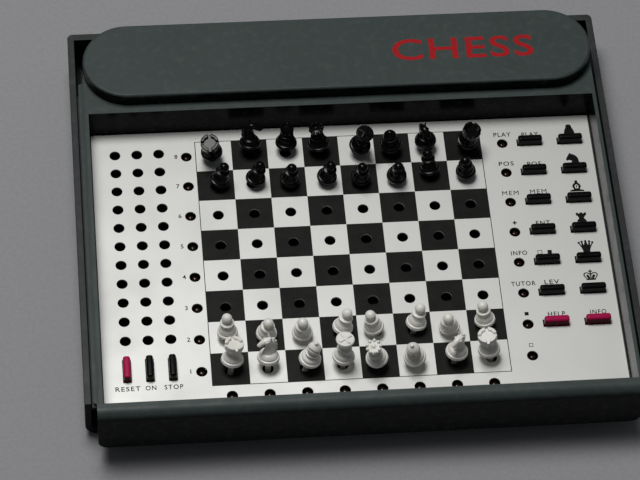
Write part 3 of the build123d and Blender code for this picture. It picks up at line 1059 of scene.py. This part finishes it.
@dataclass
class Lamps:
    """The round lamps under the panel's holes."""

    bench: Bench
    outline: Outline = ((0.0, 5.4), (0.75, 5.22), (1.25, 4.7), (1.5, 3.9), (1.5, 2.6), (1.5, 1.1), (1.5, 1.0),
                        (1.85, 0.95), (1.9, 0.8), (1.9, 0.15), (1.8, 0.0), (0.0, 0.0))

    def places(self) -> list[tuple[float, float]]:
        """The lamps beside the ranks, before the files and beside the keys."""
        found = []
        for step in range(SQUARES):
            x = BOARD_X + (step + 0.5) * SQUARE
            y = BOARD_Y + (step + 0.5) * SQUARE
            found += [(RANK_LAMP_X, y), (x, FILE_LAMP_Y), (FUNCTION_LAMP_X, y)]
        return found

    def build(self) -> None:
        """Make all the lamps as one piece."""
        lens = Turning(self.outline, steps=10).mesh(self.bench)
        parts = [(lens, placed(x, y, LAMP_SEAT)) for x, y in self.places()]
        self.bench.piece("lamp_lenses", self.bench.joined(parts), HOUSING, Slot.LAMP,
                         self.bench.finishes.lamp,
                         ("leds",))


@dataclass
class Keypad:
    """The keys: a crowned, slightly tapered cap over a retaining flange and a plunger."""

    bench: Bench
    long: float = 10.2
    wide: float = 3.0
    taper: float = 0.08
    top: float = KEY_TOP
    skirt: float = 14.4
    flange: tuple = (1.1, 13.8, 14.9)
    plunger: tuple = (1.25, 12.9, 14.0)
    rounding: float = 1.0
    fine_edge: float = 0.06
    columns: tuple = ((FUNCTION_KEYS_X, ("play", "position", "memory", "enter", "side", "level", "help")),
                      (PIECE_KEYS_X, ("pawn", "knight", "bishop", "rook", "queen", "king", "info")))
    power: tuple = ("reset", "on", "stop")
    red: tuple = ("help", "info", "reset")

    def cap(self) -> bpy.types.Mesh:
        """One key lying along X at the origin, its heights in the object's own frame."""
        half_x = self.long / 2
        half_y = self.wide / 2
        cap = slab(half_x, half_y, self.skirt, self.top)
        for vertex in cap.vertices:
            if vertex.co.z > self.skirt:
                vertex.co.x -= math.copysign(self.taper, vertex.co.x)
                vertex.co.y -= math.copysign(self.taper, vertex.co.y)
        return self.bench.rounded(cap, self.rounding, 6)

    def build(self) -> None:
        """Make every key on its own body."""
        out, flange_low, flange_high = self.flange
        radius, low, high = self.plunger
        flange = slab(self.long / 2 + out, self.wide / 2 + out, flange_low, flange_high)
        plunger = prism(dot(0.0, 0.0, radius, 16), low, high)
        whole = self.bench.joined([(mesh, Matrix.Identity(4)) for mesh in (self.cap(), flange, plunger)])
        keys = {}
        for x, names in self.columns:
            for row, name in enumerate(names):
                y = BOARD_Y + (SQUARES - row - 0.5) * SQUARE
                keys[name] = placed(x, y, 0.0)
        for column, name in enumerate(self.power):
            keys[name] = placed(STORE_X + column * STORE_PITCH, POWER_KEYS_Y, 0.0) @ QUARTER_TURN
        for name, place in keys.items():
            slot = Slot.KEY_RED if name in self.red else Slot.KEY_BLACK
            material = getattr(self.bench.finishes, slot.value)
            mesh = whole.copy()
            mesh.transform(place)
            made = self.bench.piece(f"key_{name}_cap", mesh, f"key_{name}", slot, material, (f"key_{name}",))
            self.bench.softened(made, self.fine_edge, 1, 60.0)


@dataclass
class PowerPack:
    """The penlight cells and their contact plates in the hump."""

    bench: Bench
    centre_z: float = 17.6
    rows_y: tuple = (61.5, 76.5)
    pitch: float = 50.5
    outline: Outline = ((0.0, 24.75), (2.3, 24.7), (2.6, 24.4), (2.6, 23.5), (2.7, 23.3), (6.3, 23.3),
                        (6.9, 23.15), (7.1, 22.8), (7.1, 12.0), (7.1, 0.0), (7.1, -12.0),
                        (7.1, -23.5), (6.9, -24.0),
                        (6.4, -24.15),
                        (5.6, -24.1), (5.2, -23.8), (0.0, -23.8))

    def build(self) -> None:
        """Make the cells and dress the contacts."""
        bench = self.bench
        cell = Turning(self.outline, steps=20, levels=1).mesh(bench)
        along = cell.attributes.new(ALONG_CELL, "FLOAT", "POINT")
        along.data.foreach_set("value", [vertex.co.z for vertex in cell.vertices])
        parts = []
        for row, y in enumerate(self.rows_y):
            turn = Matrix.Rotation(math.radians(90 - 180 * row), 4, "Y")
            parts += [(cell, placed(step * self.pitch, y, self.centre_z) @ turn) for step in (-1, 0, 1)]
        bench.piece("penlight_cells", bench.joined(parts), HOUSING, Slot.CELL, bench.finishes.cell,
                    ("batteries",))
        contacts = bench.piece("contact_plates", merged_copy("battery_contacts"), HOUSING, Slot.SPRING_STEEL,
                               bench.finishes.spring_steel, ("battery_contacts",))
        bench.softened(contacts, 0.15)


@dataclass
class Underside:
    """The fixings and the electronics: screws, feet and circuit board."""

    bench: Bench
    foot_places: tuple = ((-88.0, -78.0), (88.0, -78.0), (-88.0, 70.0), (88.0, 70.0))
    foot_outline: Outline = ((0.0, 8.9), (4.9, 8.9), (5.0, 8.75), (4.85, 7.6), (4.5, 7.32), (2.2, 7.3),
                             (1.6, 7.6), (0.0, 7.7))

    def build(self) -> None:
        """Make the feet and dress the rest."""
        bench = self.bench
        foot = Turning(self.foot_outline, steps=20).mesh(bench)
        parts = [(foot, placed(x, y, 0.0)) for x, y in self.foot_places]
        bench.piece("rubber_feet", bench.joined(parts), HOUSING, Slot.FOOT, bench.finishes.foot, ("feet",))
        screws = bench.piece("case_screws", merged_copy("screws"), HOUSING, Slot.SCREW, bench.finishes.screw,
                             ("screws",))
        bench.softened(screws, 0.12)
        bench.dressed("circuit_board", Slot.BOARD, bench.finishes.board)


FOOT_RINGS: Outline = ((3.62, 2.35), (3.78, 2.05), (3.76, 1.70), (3.62, 1.50), (4.15, 1.30), (4.36, 1.05),
                       (4.40, 0.60), (4.38, 0.18), (4.15, 0.0))
PEG_DEPTH = 5.0
STANDS: dict[Man, float] = {Man.PAWN: 3.2, Man.ROOK: 5.0, Man.KNIGHT: 5.0, Man.BISHOP: 5.0, Man.QUEEN: 5.0,
                            Man.KING: 5.0}
PAWN_FOOT = 4.1 / 4.4

STEMS: dict[Man, Outline] = {
    Man.PAWN: ((0.0, 10.8), (0.85, 10.63), (1.65, 10.0), (2.1, 8.9), (1.9, 7.75), (1.5, 7.1), (1.55, 6.8),
               (2.6, 6.5), (2.85, 6.15), (2.7, 5.75), (2.3, 5.45), (2.45, 4.7), (2.85, 3.7), (3.3, 2.9)),
    Man.ROOK: ((0.0, 8.7), (2.1, 8.7), (3.55, 8.7), (3.77, 8.5), (3.8, 7.6), (3.65, 6.9), (2.95, 6.2),
               (2.5, 5.6), (2.45, 4.9), (2.7, 4.1), (3.15, 3.2), (3.5, 2.7)),
    Man.KNIGHT: ((0.0, 3.7), (1.6, 3.65), (2.7, 3.4), (3.3, 2.9)),
    Man.BISHOP: ((0.0, 11.7), (0.5, 11.6), (0.78, 11.2), (0.62, 10.8), (0.85, 10.55), (1.75, 9.8), (2.5, 8.7),
                 (2.8, 7.4), (2.5, 6.2), (1.95, 5.55), (2.0, 5.25), (2.7, 5.05), (2.85, 4.7), (2.65, 4.3),
                 (2.35, 4.0), (2.5, 3.6), (2.95, 3.15), (3.5, 2.7)),
    Man.QUEEN: ((0.0, 11.5), (0.55, 11.35), (0.8, 10.9), (1.5, 10.55), (2.5, 10.35), (2.95, 10.2), (3.0, 9.9),
                (2.75, 9.2), (2.3, 8.1), (1.95, 7.0), (2.0, 6.2), (2.65, 5.75), (2.8, 5.35), (2.6, 4.9),
                (2.2, 4.55), (2.35, 4.0), (2.85, 3.3), (3.5, 2.7)),
    Man.KING: ((0.0, 11.8), (3.0, 11.8), (3.5, 11.7), (3.7, 11.3), (3.55, 10.6), (2.85, 9.5), (2.35, 8.2),
               (2.15, 7.2), (2.3, 6.75), (2.85, 6.45), (3.0, 6.05), (2.8, 5.6), (2.35, 5.25), (2.45, 4.4),
               (2.85, 3.4), (3.5, 2.7)),
}


@dataclass
class ChessSet:
    """The thirty-two peg chessmen, each leaning in its hole as a loose peg does."""

    bench: Bench
    bead_ring: float = 2.62
    beads: int = 9
    bead: Outline = ((0.0, 0.66), (0.45, 0.5), (0.66, 0.0), (0.5, -0.6), (0.4, -1.2), (0.0, -1.25))
    horse_scale: tuple = (1.1, 1.05, 0.78)
    horse_foot: float = 2.4
    merlon_radii: tuple = (2.5, 3.8)
    merlon_heights: tuple = (8.3, 9.8)
    cross_heights: tuple = (11.6, 12.35)
    pivot_depth: float = 3.0
    side_play: float = 0.72
    white_back: tuple = (Man.ROOK, Man.KNIGHT, Man.BISHOP, Man.KING, Man.QUEEN, Man.BISHOP, Man.KNIGHT,
                         Man.ROOK)
    black_back: tuple = (Man.ROOK, Man.KNIGHT, Man.BISHOP, Man.QUEEN, Man.KING, Man.BISHOP, Man.KNIGHT,
                         Man.ROOK)
    faces: dict = field(default_factory=lambda: {
        "b1": 197.0, "g1": 225.0, "b8": -8.0, "g8": -64.0, "c1": 230.0})
    leans: dict = field(default_factory=lambda: {
        "black": {8: ((-7, -11), (1, 13), (2, 10), (-8, 2), (7, -10), (-7, -10), (-9, -3), (8, -9)),
                  7: ((12, 2), (12, 2), (4, -6), (9, -4), (1, -10), (1, -12), (-8, 11), (-7, -6))},
        "white": {2: ((-2, 7), (3, -5), (-2, -7), (10, 6), (-12, 1), (8, 9), (-8, -11), (-10, 8)),
                  1: ((5, 12), (1, 13), (11, 2), (1, 5), (-11, -5), (-10, -7), (4, 3), (-9, 6))}})

    def turned(self, man: Man) -> bpy.types.Mesh:
        """The turned body of a kind of chessman, with its foot and peg."""
        width = PAWN_FOOT if man is Man.PAWN else 1.0
        foot = tuple((radius * width, height) for radius, height in FOOT_RINGS)
        tip = -STANDS[man] - PEG_DEPTH
        peg = ((1.6, 0.0), (1.22, -0.2), (1.2, -0.9), (1.2, tip / 2), (1.2, tip + 0.6), (1.1, tip + 0.15),
               (0.8, tip), (0.0, tip))
        return Turning(STEMS[man] + foot + peg).mesh(self.bench)

    def smoothed(self, mesh: bpy.types.Mesh, levels: int = 2) -> bpy.types.Mesh:
        """A coarse cage finished by subdivision."""
        mesh.shade_smooth()
        rough = self.bench.rough(mesh)
        smooth = rough.modifiers.new("smooth", "SUBSURF")
        smooth.levels = smooth.render_levels = levels
        return self.bench.applied(rough)

    def merlons(self) -> list[tuple[bpy.types.Mesh, Matrix]]:
        """The four battlements of a rook."""
        near, far = self.merlon_radii
        outer = [(far * math.cos(math.radians(turn)), far * math.sin(math.radians(turn)))
                 for turn in range(-36, 37, 9)]
        inner = [(near * math.cos(math.radians(turn)), near * math.sin(math.radians(turn)))
                 for turn in range(33, -34, -11)]
        merlon = self.bench.rounded(prism(outer + inner, *self.merlon_heights), 0.2)
        return [(merlon, Matrix.Rotation(math.radians(45 + 90 * corner), 4, "Z")) for corner in range(4)]

    def crown(self) -> list[tuple[bpy.types.Mesh, Matrix]]:
        """The beads round a queen's crown."""
        bead = Turning(self.bead, steps=8).mesh(self.bench)
        return [(bead, Matrix.Rotation(math.tau * turn / self.beads, 4, "Z")
                 @ Matrix.Translation((self.bead_ring, 0.0, 10.7))
                 @ Matrix.Rotation(math.radians(14), 4, "Y")) for turn in range(self.beads)]

    def cross(self) -> list[tuple[bpy.types.Mesh, Matrix]]:
        """The low cross on a king's flat head."""
        arm, half = 2.85, 0.55
        outline = [(half, -half), (arm, -half), (arm, half), (half, half), (half, arm), (-half, arm),
                   (-half, half), (-arm, half), (-arm, -half), (-half, -half), (-half, -arm), (half, -arm)]
        return [(self.bench.rounded(prism(outline, *self.cross_heights), 0.2), Matrix.Identity(4))]

    def mitred(self, body: bpy.types.Mesh) -> bpy.types.Mesh:
        """A bishop's body with the slanting cut in its head.

        Args:
            body: The turned body.

        Returns:
            The body with its cut.
        """
        knife = slab(3.0, 4.0, -0.3, 0.3)
        knife.transform(Matrix.Translation((2.7, 0.0, 9.0)) @ Matrix.Rotation(math.radians(-38), 4, "Y"))
        blade = self.bench.rough(knife)
        rough = self.bench.rough(body)
        cut = rough.modifiers.new("cut", "BOOLEAN")
        cut.object = blade
        cut.operation = "DIFFERENCE"
        cut.solver = "EXACT"
        mesh = self.bench.applied(rough)
        bpy.data.objects.remove(blade)
        return mesh

    def horse(self) -> list[tuple[bpy.types.Mesh, Matrix]]:
        """A knight's neck and head, facing +X: a lofted cage with ears, mane, cheeks and eyes."""
        sections = ((-0.1, 2.7, 0, 3.1, 2.5), (-0.3, 4.4, -4, 2.75, 1.95), (-0.75, 6.6, -6, 2.35, 1.6),
                    (-0.85, 8.9, 4, 2.2, 1.5), (-0.45, 11.0, 30, 2.35, 1.6), (0.7, 12.0, 75, 2.2, 1.6),
                    (2.15, 11.2, 122, 1.75, 1.3), (3.3, 10.1, 132, 1.25, 1.0), (4.15, 9.2, 136, 1.1, 0.95))
        corners = 8
        points = []
        for x, z, lean, deep, wide in sections:
            tilt = math.radians(lean)
            across = Vector((math.cos(tilt), 0.0, -math.sin(tilt)))
            for corner in range(corners):
                turn = math.tau * (corner + 0.5) / corners
                spot = Vector((x, 0.0, z)) + across * deep * math.cos(turn)
                points.append((spot.x, wide * math.sin(turn), spot.z))
        faces = [tuple(reversed(range(corners)))]
        for ring in range(len(sections) - 1):
            low = ring * corners
            faces += [(low + i, low + (i + 1) % corners, low + corners + (i + 1) % corners, low + corners + i)
                      for i in range(corners)]
        last = (len(sections) - 1) * corners
        faces.append(tuple(range(last, last + corners)))
        cage = bpy.data.meshes.new("horse")
        cage.from_pydata(points, [], faces)
        here = Matrix.Identity(4)
        parts = [(self.smoothed(cage), here)]
        for side in (-1, 1):
            ear = prism([(-0.75, -0.45), (0.6, -0.5), (0.6, 0.5), (-0.75, 0.45)], 0.0, 1.0)
            for vertex in ear.vertices:
                if vertex.co.z > 0.5:
                    vertex.co = Vector((vertex.co.x * 0.3 - 0.1, vertex.co.y * 0.35, 2.6))
            parts.append((self.smoothed(ear), Matrix.Translation((-0.2, side * 0.85, 12.6))
                          @ Matrix.Rotation(math.radians(-14 * side), 4, "X")))
            eye = Turning(((0.0, 0.35), (0.3, 0.28), (0.5, 0.0), (0.0, -0.4)), steps=8).mesh(self.bench)
            parts.append((eye, Matrix.Translation((1.2, side * 1.3, 12.0))
                          @ Matrix.Rotation(math.radians(-90 * side), 4, "X")))
        tufts = [(-3.0, 3.6), (-3.35, 5.6), (-3.0, 6.6), (-3.35, 8.0), (-2.8, 9.0), (-3.05, 10.5),
                 (-2.2, 11.3), (-2.1, 12.7), (-1.1, 12.9), (-0.5, 13.8), (-0.4, 11.4),
                 (-1.6, 9.0), (-1.6, 6.0), (-1.2, 3.6)]
        mane = prism([(x, z) for x, z in reversed(tufts)], -0.5, 0.5)
        stand = Matrix.Rotation(math.radians(90), 4, "X")
        parts.append((self.bench.rounded(mane, 0.3), stand))
        foot = Matrix.Translation((0.0, 0.0, self.horse_foot))
        squat = foot @ Matrix.Diagonal((*self.horse_scale, 1.0)) @ foot.inverted()
        return [(mesh, squat @ place) for mesh, place in parts]

    def upright(self, man: Man) -> bpy.types.Mesh:
        """One kind of chessman, upright at the origin, in millimetres.

        Args:
            man: The kind.

        Returns:
            Its whole mesh.
        """
        body = self.turned(man)
        if man is Man.BISHOP:
            body = self.mitred(body)
        parts = [(body, Matrix.Identity(4))]
        extras = {Man.ROOK: self.merlons, Man.QUEEN: self.crown, Man.KING: self.cross, Man.KNIGHT: self.horse}
        if man in extras:
            parts += extras[man]()
        return self.bench.joined(parts)

    def standing(self, x: float, y: float, right: float, away: float, lift: float) -> Matrix:
        """The place of a leaning chessman.

        Args:
            x: Its hole's place along X.
            y: Its hole's place along Y.
            right: Degrees it leans to the right.
            away: Degrees it leans away.
            lift: The height of the middle of its underside above the panel.

        Returns:
            The place in metres for a mesh made in millimetres.
        """
        slope_right = math.tan(math.radians(right))
        slope_away = math.tan(math.radians(away))
        slope = math.hypot(slope_right, slope_away)
        lean = math.atan(slope)
        heading = math.atan2(slope_away, slope_right)
        offset = (min(self.pivot_depth, self.side_play / slope) + lift) * slope
        turn = Matrix.Rotation(heading, 4, "Z")
        tilt = turn @ Matrix.Rotation(lean, 4, "Y") @ turn.inverted()
        return placed(x + offset * math.cos(heading), y + offset * math.sin(heading), PANEL_TOP + lift) @ tilt

    def build(self) -> None:
        """Make every chessman on its own body."""
        models = {man: self.upright(man) for man in Man}
        for colour, ranks in self.leans.items():
            slot = Slot.WHITE_MEN if colour == "white" else Slot.BLACK_MEN
            material = getattr(self.bench.finishes, slot.value)
            for rank, leans in ranks.items():
                back = self.white_back if rank == 1 else self.black_back
                for step, (right, away) in enumerate(leans):
                    man = back[step] if rank in (1, 8) else Man.PAWN
                    square = f"{'abcdefgh'[step]}{rank}"
                    node = f"{colour}_{man.value}_{square}"
                    place = self.standing(BOARD_X + (step + 0.5) * SQUARE, BOARD_Y + (rank - 0.5) * SQUARE,
                                          right, away, STANDS[man])
                    face = math.radians(self.faces.get(square, 37.0 * step + 11.0 * rank))
                    mesh = models[man].copy()
                    mesh.transform(place @ Matrix.Rotation(face, 4, "Z"))
                    self.bench.piece(f"{node}_turned", mesh, node, slot, material, (node,))


@dataclass
class Studio:
    """Floor, camera and soft light."""

    aim: Colour = (-0.01324, -0.00967, 0.01776)
    distance: float = 1.226
    azimuth: float = -8.49
    elevation: float = 56.08
    roll: float = 4.47
    lens: float = 170.09
    floor_size: float = 6.0

    def camera(self) -> None:
        """Stand the camera at its viewing angle."""
        turn, rise = math.radians(self.azimuth), math.radians(self.elevation)
        back = Vector((math.sin(turn) * math.cos(rise), -math.cos(turn) * math.cos(rise), math.sin(rise)))
        data = bpy.data.cameras.new("camera")
        data.lens = self.lens
        data.sensor_width = 36.0
        data.clip_start = 0.05
        made = bpy.data.objects.new("camera", data)
        bpy.context.scene.collection.objects.link(made)
        look = (-back).to_track_quat("-Z", "Y").to_matrix().to_4x4()
        made.matrix_world = (Matrix.Translation(Vector(self.aim) + back * self.distance) @ look
                             @ Matrix.Rotation(math.radians(self.roll), 4, "Z"))
        bpy.context.scene.camera = made

    def light(self, name: str, place: Colour, size: tuple[float, float], power: float,
              colour: Colour) -> None:
        """A soft rectangular light that faces the object.

        Args:
            name: Its name.
            place: Where it stands, in metres.
            size: Its width and height.
            power: Its power in watts.
            colour: Its colour.
        """
        data = bpy.data.lights.new(name, "AREA")
        data.shape = "RECTANGLE"
        data.size, data.size_y = size
        data.energy = power
        data.color = colour
        made = bpy.data.objects.new(name, data)
        made.location = place
        made.rotation_euler = (-Vector(place)).to_track_quat("-Z", "Y").to_euler()
        bpy.context.scene.collection.objects.link(made)

    def build(self) -> None:
        """Lay the floor, stand the camera and hang the lights."""
        half = self.floor_size / 2
        floor = bpy.data.meshes.new("floor")
        floor.from_pydata([(-half, -half, 0.0), (half, -half, 0.0), (half, half, 0.0),
                           (-half, half, 0.0)], [],
                          [(0, 1, 2, 3)])
        floor.materials.append(TableTop().material())
        made = bpy.data.objects.new("floor", floor)
        bpy.context.scene.collection.objects.link(made)
        self.camera()
        self.light("key_light", (-0.24, 0.25, 1.40), (0.60, 0.50), 14.0, (1.0, 0.995, 0.98))
        world = bpy.data.worlds.new("room")
        world.use_nodes = True
        world.node_tree.nodes["Background"].inputs[0].default_value = (0.86, 0.90, 0.95, 1.0)
        world.node_tree.nodes["Background"].inputs[1].default_value = 0.09
        bpy.context.scene.world = world
        bpy.context.scene.view_settings.view_transform = "Standard"


def main() -> None:
    """Build every sub-assembly in order."""
    logging.basicConfig(level=logging.INFO, format="%(levelname)s %(name)s: %(message)s")
    Studio().build()
    bench = Bench(Finishes())
    for assembly in (Shells, Panel, Mark, Lamps, Keypad, PowerPack, Underside, ChessSet):
        assembly(bench).build()
        LOG.info("%s done, %d pieces so far", assembly.__name__, bench.made)


if __name__ == "__main__":
    main()
